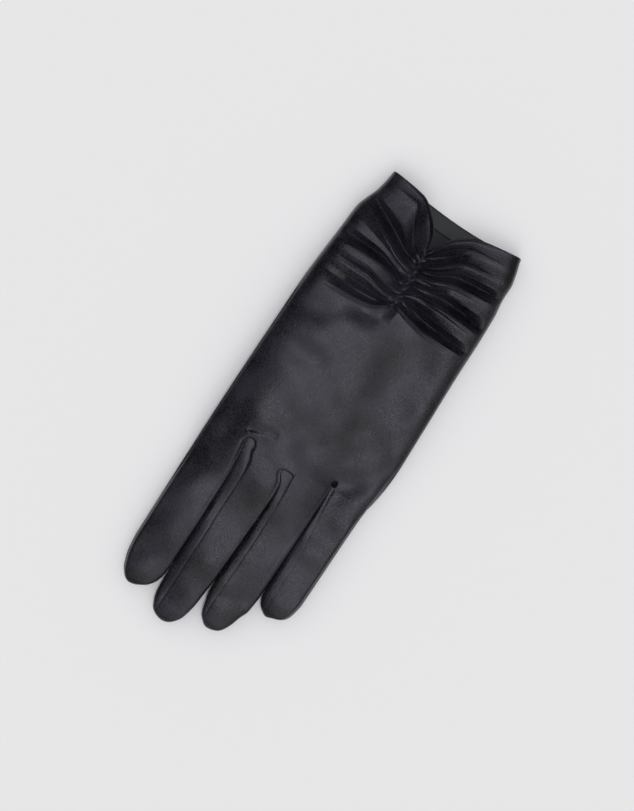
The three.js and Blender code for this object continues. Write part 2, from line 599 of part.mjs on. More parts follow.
// Every piece is cut from the shell, or hollowed, and gets a mesh of its own.
const thumbSteps = 22;
const thumbHollowSteps = 18;
const sewn = crotches.filter((crotch) => crotch.name);
const pieces = {
  hand_piece: sewn
    .reduce((rest, crotch) => rest.subtract(fourchetteSpace(crotch, seamGap)), shell)
    .subtract(thumbHole)
    .subtract(thumbSolid(thumbSteps, -seamGap)),
  thumb: thumbSolid(thumbSteps, 0).subtract(thumbSolid(thumbHollowSteps, clothWall)),
};
for (const crotch of sewn) {
  pieces['fourchette_' + crotch.name] = shell.intersect(fourchetteSpace(crotch, 0));
}

function meshOf(name, solid, material) {
  const { vertProperties, numProp, triVerts } = solid.getMesh();
  const geometry = new THREE.BufferGeometry();
  geometry.setAttribute('position', new THREE.BufferAttribute(vertProperties, numProp));
  geometry.setIndex(new THREE.BufferAttribute(triVerts, 1));
  const mesh = new THREE.Mesh(geometry, material);
  mesh.name = name;
  return mesh;
}

const satin = new THREE.MeshStandardMaterial({ color: 0x2a292c, roughness: 0.42, metalness: 0 });
const glove = new THREE.Group();
for (const [name, solid] of Object.entries(pieces)) glove.add(meshOf(name, solid, satin.clone()));

// The part's origin is the middle of its footprint.
const box = new THREE.Box3().setFromObject(glove);
glove.position.set(-(box.min.x + box.max.x) / 2, -(box.min.y + box.max.y) / 2, -box.min.z);
const part = new THREE.Group();
part.add(glove);

export default part;
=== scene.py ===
import bmesh
import bpy
import mathutils
import numpy as np
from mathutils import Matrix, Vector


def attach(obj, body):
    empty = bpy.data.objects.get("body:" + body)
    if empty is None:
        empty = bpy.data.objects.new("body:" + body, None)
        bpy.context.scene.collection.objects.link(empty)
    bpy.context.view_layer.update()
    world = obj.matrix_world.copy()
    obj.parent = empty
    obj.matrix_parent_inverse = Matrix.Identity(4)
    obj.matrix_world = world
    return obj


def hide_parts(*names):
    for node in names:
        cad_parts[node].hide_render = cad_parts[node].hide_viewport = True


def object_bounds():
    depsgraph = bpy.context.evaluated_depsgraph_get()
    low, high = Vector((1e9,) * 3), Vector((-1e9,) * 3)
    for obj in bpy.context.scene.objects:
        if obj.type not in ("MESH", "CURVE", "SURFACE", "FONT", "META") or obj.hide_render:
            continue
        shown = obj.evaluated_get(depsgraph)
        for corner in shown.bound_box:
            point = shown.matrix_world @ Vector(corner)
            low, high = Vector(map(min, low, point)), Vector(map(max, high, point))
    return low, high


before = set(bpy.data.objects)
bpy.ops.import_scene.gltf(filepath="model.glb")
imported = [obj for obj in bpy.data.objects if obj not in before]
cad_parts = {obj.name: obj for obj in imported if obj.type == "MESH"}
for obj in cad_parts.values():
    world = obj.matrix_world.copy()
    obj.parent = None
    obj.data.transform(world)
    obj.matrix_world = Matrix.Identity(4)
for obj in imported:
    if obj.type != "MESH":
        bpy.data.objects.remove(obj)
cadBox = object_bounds()

# Shapes are worked out in millimetres, x from the gathered line and y from the hem line, and placed at the end.
# A span is where a smooth step starts and how long it runs.
glove = {
    "hemReach": 1.68,  # the hem's corner lies this far before the hem line
    "aside": 0.1,  # the gathered line lies this far from the frame's middle
    "cloth": 0.45,
    "floorGap": 0.06,
    "fingerHeight": 9.0,
    "fingerCrown": 0.7,  # how far a finger's back falls from its middle to its edges
    "shoulder": 6.4,  # top of the upright part of the sides
    "belly": 2.0,  # foot of that part
    "edgeRound": 0.55,
    "backArch": (16, 0.5),  # the two powers of the form across the back
    "palmArch": (6, 0.7),  # and across the palm side
    "palmFlat": 1.06,  # above 1, so that it lies flat over most of its width
    "crotchEnds": (42.6008, -39.8),  # x of the crotches' line at the two sides
    "underHalf": 4.8,  # half width of a side strip on the palm side
    "underArch": 3.0,  # how far its round end reaches back there
    "slitGap": 0.13,
    "slitDepth": 1.5,
    "slitRound": 1.15,  # width over which a finger's back falls into the slit
    "slitStart": (0.5, 0.2),  # shares of its width and depth at the crotch
    "slitRun": 60.0,  # over this length it grows to all of them
    "sideRound": 1.3,  # width over which a finger's back falls to the shoulder
    "fallPower": 2.2,
    "tipRun": 9.0,  # length over which a finger gets thinner towards its tip
    "tipThick": 0.36,  # share of its height that is left there
    "tipMiddle": 2.05,  # the height that it gets thinner towards
    "tipPower": 2.4,
    "tipClose": 6.0,  # length over which its sides stop bulging
    "rootShare": 0.06,  # shares of its length in which its width and its height take over from the hand
    "rootRise": 0.2,
}
crown = {"y": [-5, 16, 41, 82, 137, 230], "height": [9.46, 10.56, 11.0, 9.6, 9.0, 9.0]}  # of the back, over the floor
wrist = {
    "foldHeight": 4.0,
    # Powers of the way between two fold lines. 1 is straight, and more is flat first and steep at the end.
    "puffFall": 1.15,  # from a ridge down to the valley past it
    "creaseClimb": 2.0,  # from the valley up to the next ridge
    "creaseSoftens": (0.4, 0.4),  # span of the reach in which that turns into an even step
    "valleyShift": 0.9,  # a valley lies this far on the hem's side of its table's place
    "valleyShare": 0.5,  # but at most this share of the way to its ridge
    "puffShare": 0.6,  # how much of its table's height a ridge keeps
    "crowding": 1.25,  # how much finer the mesh is beside the gathered line
    "spreading": 1.5,  # how soon it is even again past the last fold
    "stepsPerFold": 11,
    "crestHeight": 0.7,  # a thin crease stands on each ridge
    "crestWidth": 0.42,
    "crestPair": 1.4,  # distance to the second crease of a sharp ridge
    "crestSecond": 0.8,  # and its height as a share
    "crestAtHem": 0.3,  # the hem's own crease lies this far in
    "crestGrows": (0.0, 0.04),  # spans of the reach
    "crestFades": (0.41, 0.45),
    "dentsStart": (50, 8),  # span of y
    "hemDip": 3.0,
    "dipRows": (0, 4),  # span of the row number
    "hemTurn": 3.4,  # row that the turned up hem reaches
    "hemEnd": 0.15,  # row where its inside goes over into the roll
    "hemOffset": 0.95,  # outside of the cloth to the turned up hem inside
    "hemStep": (0.05, 0.04),  # the last rows before its step, counted from hemTurn
    "hemRoll": 0.48,
    "insideReach": 12.0,  # row where the inside ends, this far from the outside
    "insideEnd": 0.1,
    "insetDrop": 1.15,  # how much an inset lowers the back
}
# A wave is its strength, its turn for each millimetre of y, and its shift between the two sides.
gather = {
    "start": (20, 4),  # spans of y
    "end": (50, 6),
    "thread": (23.0, 52.0),  # from and to
    "halfWidth": 2.2, "depth": 1.6,
    "puckerPitch": 2.15, "puckerHeight": 0.55, "puckerReach": 3.4, "puckerPower": 1.5,
    "puckerHollow": 0.6,  # half width of the groove, where there are none
    "longPucker": 5.0,  # how much further the longest of them run
    "lean": 0.035,  # away from the middle of the line
    "leanMiddle": 37.0,
    "pitchWaves": [(0.7, 0.83, 1.3), (0.5, 0.37, 2.0)],
    "reachMiddle": 0.5,
    "reachWave": (0.9, 0.61, 2.2),
    "heightMiddle": 0.75,
    "heightWave": (0.35, 1.27, 1.0),
}
# The folded thumb lifts the palm side, and the back less and more slowly: spans across, along and of the fade.
lift = {
    "below": {"height": 7.3, "across": (3.395, 8.008), "along": (34.8, 44.4), "fade": (125.2, 70.8)},
    "above": {"height": 5.8, "across": (-22.66, 47.38), "along": (27.4, 57.54), "fade": (100, 125)},
}
# Past fadeRun the share faded is left of the groove's depth. begins is its span of y, counted from the crotch.
seams = {"grooveDepth": 1.05, "grooveWidth": 0.36, "faded": 0.09, "fadeRun": 3.4, "begins": (-8, 3)}

# Sides of the hand: y, then x of the little finger side and of the index side.
palmEdges = {
    "y": [-2, 1.2, 9, 14, 20, 30, 45, 60, 85, 105, 125, 137],
    "little": [-37.6, -38.1, -40.1, -41, -40.9, -41.9, -42.2, -42.1, -42.5, -42.8, -41, -39.8],
    "index": [32.3, 32.6, 34.2, 36.2, 38.2, 39, 40.2, 41.1, 41.7, 42.2, 42.5, 42.6],
}
# The gathers, from the hem on: ridge and valley in turn. Places in millimetres and heights as shares at each reach,
# which is 0 on the gathered line and 1 at the side. crest has a height for each ridge.
foldReach = [0, 0.065, 0.21, 0.47, 1]
riseReach = [0, 0.065, 0.21, 0.47, 0.72, 1]
foldStarts = [
    21.8, 22.8, 24.6, 25.6, 28.0, 29.3, 31.5, 34.7, 35.9, 36.9, 39.9, 41.7, 44.2, 46.1, 47.3, 48.4, 50.2, 53.0,
]
foldsLittle = {
    "near": [17.5, 20.5, 22, 23.8, 27.7, 28.8, 29.8, 31.2, 32.6, 34.4, 37.1, 38.6, 41.5, 43, 44.8, 46.5, 49.3, 52.5],
    "mid": [10, 12.5, 15.5, 19.5, 24.3, 25.4, 27, 29.3, 31.3, 34.4, 36.4, 37.3, 39.9, 41.6, 44.8, 47.9, 51, 54.5],
    "far": [4.4, 7, 9.5, 12.5, 16.5, 18.5, 21, 24, 27.7, 30.5, 33, 36.2, 39.7, 42.6, 46, 49.6, 53, 57],
    "side": [1.2, 5, 8, 11, 14, 16.5, 19, 22.3, 26, 29.5, 33, 38, 42, 44.8, 47.7, 51, 53.6, 58.5],
    "nearRise": [0.4, -0.1, 0.4, -0.4, 0.45, -0.3, 0.25, -0.35, 0.5, -0.4, 0.3, -0.3, 0.5, -0.4, 0.25, -0.45, 0.3, 0],
    "midRise": [0.45, 0, 0.4, -0.7, 0.55, -0.3, 0.15, -0.45, 0.5, -0.4, 0.25, -0.35, 0.5, -0.4, 0.3, -0.75, 0.1, 0],
    "farRise": [0.1, 0, 0.1, -0.1, 0.2, 0, 0.2, -0.95, 0.35, 0.1, 0.15, -0.85, 0.35, -0.1, 0.2, -1.15, 0.1, 0],
    "offRise": [0, 0, 0.05, 0, 0.1, 0, 0.15, -1.05, 0.2, 0.05, 0.15, -1.05, 0.2, 0, 0.15, -0.75, 0.08, 0],
    "sideRise": [0, 0, 0, 0, 0, 0, 0, -0.1, 0, 0, 0, -0.1, 0.05, 0, 0, 0, 0, 0],
    "crest": [1.0, 0.5, 0.9, 0.3, 1.3, 0.3, 1.3, 0.5, 1.2],
}
foldsIndex = {
    "near": [13, 16.5, 24, 25.3, 26.5, 28, 32, 35.6, 36.6, 39, 42, 44.4, 46.5, 48.7, 49.7, 50.9, 52, 54.5],
    "mid": [7, 9.5, 20.3, 22.3, 25, 27, 31, 34, 34.8, 36.3, 38.7, 44, 45.7, 47.7, 50, 52.8, 55.1, 58],
    "far": [1, 3, 5, 9.5, 17.5, 22, 26.3, 30.3, 31.5, 33.8, 37.3, 41.7, 43.8, 46, 50, 53.5, 56.6, 60],
    "side": [-1.7, 1.5, 4, 8, 10.5, 13, 16, 24.8, 29.5, 33.6, 38.5, 41.7, 44.2, 46.7, 49.5, 53, 57, 61],
    "nearRise": [0.45, -0.35, 0.5, -0.1, 0.1, -0.6, 0.6, -0.1, 0, -0.6, 0.4, -0.35, 0.4, -0.3, 0.2, -0.45, 0.25, 0],
    "midRise": [0.45, -0.5, 0.6, -0.5, 0.1, -0.95, 1.2, 0, -0.1, -1.0, 0.5, -0.3, 0.45, -0.4, 0.2, -0.95, 0.1, 0],
    "farRise": [0.1, 0, 0.1, 0, 0.2, -1.0, 1.2, 0.1, 0.05, -1.1, 0.4, 0.15, 0.35, -0.15, 0.15, -0.9, 0.1, 0],
    "offRise": [0, 0, 0.05, 0.05, 0.1, -0.75, 0.8, 0.1, 0.05, -0.9, 0.3, 0.1, 0.15, 0.05, 0.1, -0.1, 0.05, 0],
    "sideRise": [0, 0, 0, 0, 0, -0.1, 0.1, 0, 0, -0.25, 0.1, 0, 0, 0, 0, 0, 0, 0],
    "crest": [1.0, 0.6, 0.2, 1.7, 0, 1.0, 1.5, 0.2, 1.1],
}

# Fingers: y and x of the tip. Each side of its rounding has millimetres back from the tip, and the share of the width
# that the finger has there.
fingers = [
    {  # index
        "tip": 220.2, "apex": 33.9,
        "right": ([0, 1.4, 3.9, 7.4, 12.4, 20], [0, 0.34, 0.56, 0.73, 0.9, 1]),
        "left": ([0, 0.4, 2.1, 3.4, 5.9, 8.9, 12.4, 20], [0, 0.2, 0.48, 0.645, 0.81, 0.93, 0.985, 1]),
    },
    {  # middle
        "tip": 226.8, "apex": 11.9,
        "right": ([0, 0.7, 2.7, 5.5, 9, 16, 22], [0, 0.32, 0.63, 0.79, 0.92, 0.98, 1]),
        "left": ([0, 0.8, 3, 6, 9, 15, 20, 30], [0, 0.28, 0.52, 0.71, 0.8, 0.9, 0.94, 1]),
    },
    {  # ring
        "tip": 218.6, "apex": -7.1,
        "right": ([0, 1.8, 4.3, 7.8, 11.3, 13.8, 20], [0, 0.37, 0.62, 0.765, 0.86, 0.95, 1]),
        "left": ([0, 1.8, 4.3, 7.8, 12.3, 15.8, 23.8], [0, 0.43, 0.58, 0.7, 0.81, 0.93, 1]),
    },
    {  # little
        "tip": 200.1, "apex": -27.4,
        "right": ([0, 1.3, 3, 5.8, 7.3, 10], [0, 0.4, 0.69, 0.9, 0.97, 1]),
        "left": ([0, 0.8, 2.3, 4.3, 7.3, 12.3], [0, 0.25, 0.63, 0.81, 0.91, 1]),
    },
]
# The lines between the fingers. slit is where the fingers touch, left and right are the side strip's seams on the
# back, arch is how far their round end reaches back from the first y, and groove is their depth as a share. The
# first and the last are the outer sides of the hand.
slits = [
    {"edge": "index", "start": 137.0},
    {
        "name": "index_middle", "groove": 1.0, "arch": 3.0, "y": [138, 142, 148, 155, 180, 208, 225],
        "slit": [23.1, 22.6, 22.0, 21.4, 21.1, 21.5, 21.7], "left": [18.6, 17.4, 16.6, 16.3, 16.3, 16.6, 16.8],
        "right": [23.9, 23.5, 23.1, 22.8, 22.7, 23.1, 23.3],
    },
    {
        "name": "middle_ring", "groove": 0.8, "arch": 1.5, "y": [140.5, 142.5, 146, 152, 165, 180, 190, 205, 222],
        "slit": [2.2, 1.0, -0.3, -0.8, -0.5, 0.1, 0.5, 1.2, 1.4],
        "left": [-3.8, -4, -4.1, -4.3, -4.4, -4.3, -4.0, -3.4, -3.2],
        "right": [2.8, 1.8, 0.6, 0.4, 0.8, 1.5, 1.9, 2.6, 2.8],
    },
    {
        "name": "ring_little", "groove": 0.3, "arch": 0.8, "y": [135, 142, 150, 160, 170, 180, 193, 205],
        "slit": [-21, -21, -21, -20.9, -20.8, -20.7, -20.4, -20.3],
        "left": [-22.3, -22.5, -23.2, -24.5, -25.3, -25.3, -25.1, -25.0],
        "right": [-19.7, -19.6, -19.2, -18.3, -17.8, -17.7, -17.6, -17.6],
    },
    {"edge": "little", "start": 135.0},
]
outerEdges = {
    "y": [120, 137, 150, 180, 200, 230],
    "index": [42.4, 42.6, 42.7, 42.8, 42.8, 42.8],
    "little": [-41.6, -39.8, -39.3, -38.6, -38.1, -38.0],
}
# Soft dents and swells of the back, in millimetres: x and y of their two ends, how wide and how high.
softDents = [
    (8, 57, 40, 76, 6, -0.9),
    (14, 66, 36, 62, 5, 0.5),
    (16, 88, 42, 91, 5.5, -0.65),
    (-36, 84, 2, 70, 11, 0.9),
    (-38, 118, -24, 132, 6.5, -0.9),
    (47, 86, 46, 150, 23, -3.2),
    (49, 150, 47, 205, 16, -1.2),
    (-20, 124, -10, 116, 5, 0.35),
    (15.5, 129.8, 24.5, 133.4, 0.8, 0.55),
    (13, 127.9, 24, 131.6, 1.1, -0.7),
    (-21.1, 132.2, -21.1, 132.7, 0.85, -2.2),
    (25, 126, 36, 112, 5.5, 0.3),
    (-16, 166, -6, 162, 5, -0.35),
    (2, 176, 16, 168, 6, -0.4),
    (4, 212, 16, 206, 6, 0.35),
    (-14, 199, -6, 203, 3, -0.4),
    (24, 197, 40, 208, 5, -0.35),
    (-36, 161, -27, 165, 5, 0.3),
]

mesh = {
    "backSteps": 20, "stripSteps": 7, "palmSteps": 6, "palmStripSteps": 2, "sideSteps": 5,
    "palmRows": 44,
    "palmPacking": 1.8,  # more puts more of these rows beside the crotches
    "rootRows": [0, 0.006, 0.014, 0.024, 0.036, 0.05],  # shares of a finger's length
    "fingerRows": 34,
    "fingerSpan": (0.07, 0.8),
    "tipRows": 16,
    "insideRows": 26, "hemRows": 16, "rollSteps": 6,
    "stitchSteps": 8, "stitchSides": 8,
    "spineRow": 40,  # its point nearest to x = 0 tells the gathered line's column
}

# Slack of the cloth: slow waves, each with its own length, heading and start.
slack = {"count": 14, "shortest": 11.0, "longest": 52.0, "height": 0.36, "power": 1.6, "seed": 5}
chance = np.random.default_rng(slack["seed"])
waves = np.stack([
    np.geomspace(slack["shortest"], slack["longest"], slack["count"]),
    chance.uniform(0, np.pi, slack["count"]),
    chance.uniform(0, 2 * np.pi, slack["count"]),
], -1)


def mix(a, b, t):  # a at 0 and b at 1, straight between
    return a + (b - a) * t


def ease(t):  # 0 below 0, 1 above 1, and a smooth step between
    t = np.clip(t, 0, 1)
    return t * t * (3 - 2 * t)


def ramp(at, span):  # a smooth step that starts at span[0] and is span[1] long
    return ease((at - span[0]) / span[1])


def arch(share, square, roundness):  # 1 less a power of the share, to another power: a flat top with round shoulders
    return np.clip(1 - np.abs(share) ** square, 0, 1) ** roundness


def cosineSteps(count):  # from 0 to 1 in count steps that are shorter at both ends
    return (1 - np.cos(np.linspace(0, np.pi, count + 1))) / 2


def smoothCurve(stations, values):
    # A cubic through all stations whose slope is the harmonic mean of its neighbours' slopes, so it never overshoots.
    # values may hold several curves as rows, and then row says which one is read.
    stations = np.asarray(stations, float)
    values = np.asarray(values, float)
    steps = np.diff(stations)
    rates = np.diff(values, axis=-1) / steps
    before, after = rates[..., :-1], rates[..., 1:]
    both = before * after
    inner = np.where(both > 0, 2 * both / np.where(before + after == 0, 1, before + after), 0)
    slopes = np.concatenate([rates[..., :1], inner, rates[..., -1:]], axis=-1)

    def curve(at, row=None):  # the value at each place
        at = np.clip(at, stations[0], stations[-1])
        i = np.clip(np.searchsorted(stations, at, side="right") - 1, 0, len(stations) - 2)
        span = steps[i]
        t = (at - stations[i]) / span
        here, there = (i, i + 1) if row is None else ((row, i), (row, i + 1))
        return (
            values[here] * (1 + 2 * t) * (1 - t) ** 2
            + slopes[here] * span * t * (1 - t) ** 2
            + values[there] * t * t * (3 - 2 * t)
            - slopes[there] * span * t * t * (1 - t)
        )

    return curve


def curvesOf(table, *keys):  # a smooth curve over y for each key of a table
    return {key: smoothCurve(table["y"], table[key]) for key in keys}


palmCurve = curvesOf(palmEdges, "little", "index")
outerCurve = curvesOf(outerEdges, "little", "index")
crownCurve = curvesOf(crown, "height")["height"]
for finger in fingers:
    finger["curve"] = {side: smoothCurve(np.sqrt(finger[side][0]), finger[side][1]) for side in ("right", "left")}
for slit in slits[1:-1]:
    slit["curve"] = curvesOf(slit, "slit", "left", "right")
    slit["start"] = slit["y"][0]
foldCurves = {}
for side, table in (("little", foldsLittle), ("index", foldsIndex)):
    along = np.array([foldStarts, table["near"], table["mid"], table["far"], table["side"]]).T.copy()
    along[1::2] -= np.minimum(wrist["valleyShift"], wrist["valleyShare"] * (along[1::2] - along[0::2]))
    columns = [table[key] for key in ("nearRise", "midRise", "farRise", "offRise", "sideRise")]
    rise = np.array([np.zeros(len(foldStarts)), *columns]).T
    rise = np.where(rise > 0, rise * wrist["puffShare"], rise)
    foldCurves[side] = {"along": smoothCurve(foldReach, along), "rise": smoothCurve(riseReach, rise)}
lastFold = len(foldStarts) - 1


def lifted(form, x, y):  # a step across, times a step along, times a slow fade on the way to the fingertips
    return form["height"] * ramp(x, form["across"]) * ramp(y, form["along"]) * (1 - ramp(y, form["fade"]))


def palmSag(share):  # height of the palm side over the floor: none but near the edges, where it rises to the belly
    flat = np.minimum(1, glove["palmFlat"] * arch(share, *glove["palmArch"]))
    return glove["floorGap"] + glove["belly"] * (1 - flat)


def edgesAt(little, index, inset=0):  # x of the hand's two edges, each at its own y
    inset = glove["edgeRound"] + inset
    return palmCurve["little"](little) + inset, palmCurve["index"](index) - inset


def palmUnder(x, y):  # height of the palm side at any place: its sag between the two edges, and the thumb's lift
    left, right = edgesAt(y, y)
    return palmSag(2 * (x - left) / (right - left) - 1) + lifted(lift["below"], x, y)


def seamGroove(x, y):
    # A narrow bell across each seam on the back: two upright branches that end in half an ellipse at the crotch.
    depth = np.zeros(np.broadcast(x, y).shape)
    for slit in slits[1:-1]:
        left, right = slit["curve"]["left"](y), slit["curve"]["right"](y)
        middle, half = (left + right) / 2, (right - left) / 2
        past = y - slit["start"]
        upright = np.minimum(np.abs(x - left), np.abs(x - right))
        oval = np.abs(np.hypot((x - middle) / half, past / slit["arch"]) - 1) * np.minimum(half, slit["arch"])
        away = np.where(past > 0, upright, oval)
        strong = slit["groove"] * mix(seams["faded"], 1, np.exp(-np.maximum(past, 0) / seams["fadeRun"]))
        strong = strong * seams["grooveDepth"] * ramp(past, seams["begins"])
        depth += strong * np.exp(-((away / seams["grooveWidth"]) ** 2))
    return depth


def softForms(x, y):
    # The waves of the slack, longer ones higher, and the soft dents, each a bell across the nearest point of its line.
    z = 0.0 * x
    for length, heading, turn in waves:
        far = x * np.cos(heading) + y * np.sin(heading)
        height = slack["height"] * (length / slack["longest"]) ** slack["power"]
        z = z + height * np.sin(2 * np.pi * far / length + turn)
    for x0, y0, x1, y1, width, rise in softDents:
        dx, dy = x1 - x0, y1 - y0
        t = np.clip(((x - x0) * dx + (y - y0) * dy) / (dx * dx + dy * dy), 0, 1)
        away = np.hypot(x - x0 - t * dx, y - y0 - t * dy)
        z = z + rise * np.exp(-((away / width) ** 2))
    return z


def gatherForm(x, y):
    # The stitches hold a groove down, a bell across the line. Beside it the cloth puckers, a wave along the line of
    # about one pucker for each stitch, whose pitch, height and reach drift.
    side = np.where(x > 0, 1.0, -1.0)
    away = np.abs(x)

    def swing(wave):  # the sine's value at y
        strength, rate, shift = wave
        return strength * np.sin(rate * y + shift * side)

    inside = ramp(y, gather["start"]) * (1 - ramp(y, gather["end"]))
    groove = -gather["depth"] * np.exp(-((x / gather["halfWidth"]) ** 2))
    lean = gather["lean"] * (y - gather["leanMiddle"]) * away
    drift = sum(swing(wave) for wave in gather["pitchWaves"])
    wave = np.cos(2 * np.pi * (y - lean) / gather["puckerPitch"] + drift)
    reach = gather["puckerReach"] + gather["longPucker"] * ease(gather["reachMiddle"] + swing(gather["reachWave"]))
    size = gather["puckerHeight"] * (gather["heightMiddle"] + swing(gather["heightWave"]))
    bell = np.exp(-((away / reach) ** gather["puckerPower"])) * (1 - np.exp(-((x / gather["puckerHollow"]) ** 2)))
    return inside * (groove + size * wave * bell)


def columnsOf(backSteps, stripSteps):
    # Columns of the ring round the hand, finger by finger. part is 0 for the strip on a finger's index side, 1 for its
    # back and 2 for the strip on its little finger side, and share runs from 0 to 1 over that part.
    parts = [(f, part) for f in range(len(fingers)) for part in range(3)][1:-1]
    steps = [cosineSteps(count)[:-1] for count in (stripSteps, backSteps, stripSteps)]
    columns = [(f, part, share) for f, part in parts for share in steps[part]] + [(*parts[-1], 1)]
    finger, part, share = np.array(columns).T
    return {"finger": finger.astype(int), "part": part.astype(int), "share": share}


backCols = columnsOf(mesh["backSteps"], mesh["stripSteps"])
palmCols = columnsOf(mesh["palmSteps"], mesh["palmStripSteps"])


def sideLines(f, y, under):
    # x of a finger's right edge, right seam, left seam and left edge at each y. Towards the tip each edge draws in to
    # the apex by the finger's own table, and a seam ends where it meets the outline.
    finger = fingers[f]
    lines = []
    for way, slit, key in ((1, slits[f], "right"), (-1, slits[f + 1], "left")):
        if "edge" in slit:
            edge = outerCurve[slit["edge"]](y) - way * glove["edgeRound"]
            seam = edge
        else:
            middle = slit["curve"]["slit"](y)
            edge = middle - way * glove["slitGap"]
            above = slit["curve"]["left" if way > 0 else "right"](y)
            seam = middle - way * glove["underHalf"] if under else above
        narrow = finger["curve"][key](np.sqrt(np.maximum(finger["tip"] - y, 0)))
        edge = finger["apex"] + (edge - finger["apex"]) * narrow
        lines += [edge, np.minimum(seam, edge) if way > 0 else np.maximum(seam, edge)]
    return [lines[0], lines[1], lines[3], lines[2]]


def acrossAt(cols, y, under):
    # x of every column at its y: each part is shared out evenly between the two lines that bound it.
    x = np.zeros(y.shape)
    for f in np.unique(cols["finger"]):
        mine = cols["finger"] == f
        lines = sideLines(f, y[..., mine], under)
        part = cols["part"][mine]
        x[..., mine] = mix(np.choose(part, lines[:3]), np.choose(part, lines[1:]), cols["share"][mine])
    return x


def baseLine(cols, under):
    # Where each column leaves the hand: straight from crotch to crotch, with the seams' round ends.
    starts = np.array([slit["start"] for slit in slits])
    x = acrossAt(cols, starts[cols["finger"] + (cols["part"] == 2)], under)
    first, last = glove["crotchEnds"]
    crotchX = np.array([first] + [slit["curve"]["slit"](slit["start"]) for slit in slits[1:-1]] + [last])
    y = np.interp(x, crotchX[::-1], starts[::-1])
    for n, slit in enumerate(slits[1:-1], 1):
        left, right, depth = crotchX[n] - glove["underHalf"], crotchX[n] + glove["underHalf"], glove["underArch"]
        if not under:
            left, right = (slit["curve"][key](slit["start"]) for key in ("left", "right"))
            depth = slit["arch"]
        middle, half = (left + right) / 2, (right - left) / 2
        inside = np.clip(1 - ((x - middle) / half) ** 2, 0, 1)
        y = np.where(np.abs(x - middle) <= half, slit["start"] - depth * np.sqrt(inside), y)
    return x, y


def fingerTop(f, x, y, right, left):
    # Height of a finger's back: a low parabola across, with a short round fall into the slit on each side, which gets
    # wider and deeper towards the tip. On the sides of the hand it falls to the shoulder.
    across = (2 * x - left - right) / np.maximum(right - left, 1)
    z = glove["fingerHeight"] - glove["fingerCrown"] * np.clip(across, -1, 1) ** 2
    for slit, away in ((slits[f], right - x), (slits[f + 1], x - left)):
        if "edge" in slit:
            width, depth = glove["sideRound"], glove["fingerHeight"] - glove["shoulder"]
        else:
            grown = ramp(y, (slit["start"], glove["slitRun"]))
            width = mix(glove["slitStart"][0], 1, grown) * glove["slitRound"]
            depth = mix(glove["slitStart"][1], 1, grown) * glove["slitDepth"]
        z = z - depth * (1 - np.clip(away / width, 0, 1)) ** glove["fallPower"]
    return z


def handTop(x, y, left, right):
    # Height of the back of the hand: flat across, and falling to the shoulders at both sides.
    away = (2 * x - left - right) / (right - left)
    return glove["shoulder"] + (crownCurve(y) - glove["shoulder"]) * arch(away, *glove["backArch"])


def bySide(x, key, reach, number):  # value of a fold line at its reach, from the table of the side that x is on
    return np.where(x > 0, foldCurves["index"][key](reach, number), foldCurves["little"][key](reach, number))


def foldForm(x, reach, k, t):
    # y and height between fold line k and the next one. y runs evenly. The height falls from a ridge as one power of
    # the way, and climbs out of a valley as another, which turns into a smooth step towards the sides.
    y = mix(bySide(x, "along", reach, k), bySide(x, "along", reach, k + 1), t)
    low, high = bySide(x, "rise", reach, k), bySide(x, "rise", reach, k + 1)
    climb = mix(t ** wrist["creaseClimb"], ease(t), ramp(reach, wrist["creaseSoftens"]))
    rise = mix(low, high, np.where(low > high, t ** wrist["puffFall"], climb))
    return y, wrist["foldHeight"] * rise


def crestForm(x, y, reach):
    # The crease on a ridge is a narrow bell across it, and the sharpest ones are double. It fades at both ends.
    z = 0.0 * x
    for ridge in range(len(foldStarts) // 2):
        at = bySide(x, "along", reach, 2 * ridge)
        sharp = np.where(x > 0, foldsIndex["crest"][ridge], foldsLittle["crest"][ridge])
        first = (y - at - (wrist["crestAtHem"] if ridge == 0 else 0)) / wrist["crestWidth"]
        second = (y - at - wrist["crestPair"]) / wrist["crestWidth"]
        z = z + sharp * (np.exp(-(first ** 2)) + (sharp > 1) * wrist["crestSecond"] * np.exp(-(second ** 2)))
    return wrist["crestHeight"] * z * ramp(reach, wrist["crestGrows"]) * (1 - ramp(reach, wrist["crestFades"]))


def handGrid(rows, inset=0.0):
    # The ring round the hand for each row number: 0 to lastFold are the fold lines, and 1 more is the crotch line.
    rows = np.asarray(rows, float)[:, None]
    fold = np.minimum(rows, lastFold)
    past = np.clip(rows - lastFold, 0, 1)
    k = np.minimum(np.floor(fold).astype(int), lastFold - 1)
    t = fold - k
    sideAt = {}
    for side, slit in (("little", slits[-1]), ("index", slits[0])):
        curve = foldCurves[side]["along"]
        sideAt[side] = mix(mix(curve(1, k), curve(1, k + 1), t), slit["start"], past)
    left, right = edgesAt(sideAt["little"], sideAt["index"], inset)
    out = {}
    for zone, cols in (("back", backCols), ("palm", palmCols)):
        baseX, baseY = baseLine(cols, zone == "palm")
        signed = np.where(baseX > 0, baseX / baseX.max(), -baseX / baseX.min())
        packed = np.sign(signed) * np.abs(signed) ** wrist["crowding"]
        signed = mix(packed, signed, ease(past * wrist["spreading"]))
        x = np.where(signed > 0, signed * right, -signed * left)
        if zone == "back":
            reach = np.abs(signed)
            y, folds = foldForm(x, reach, k, t)
            y = mix(y, baseY, past)
            z = handTop(x, y, left, right) + lifted(lift["above"], x, y) + gatherForm(x, y) - seamGroove(x, y)
            z = z + (past == 0) * (folds + crestForm(x, y, reach))
            z = z + softForms(x, y) * ramp(y, wrist["dentsStart"]) - wrist["insetDrop"] * inset
        else:
            share = (x - left) / (right - left)
            dip = wrist["hemDip"] * (1 - ramp(rows, wrist["dipRows"])) * (1 - (2 * share - 1) ** 2)
            y = mix(sideAt["little"], sideAt["index"], share) + dip
            y = mix(y, baseY, ease(past) * past)
            z = palmSag(2 * share - 1) + lifted(lift["below"], x, y) + inset
        out[zone] = np.stack([x, y, z], -1)
    return out


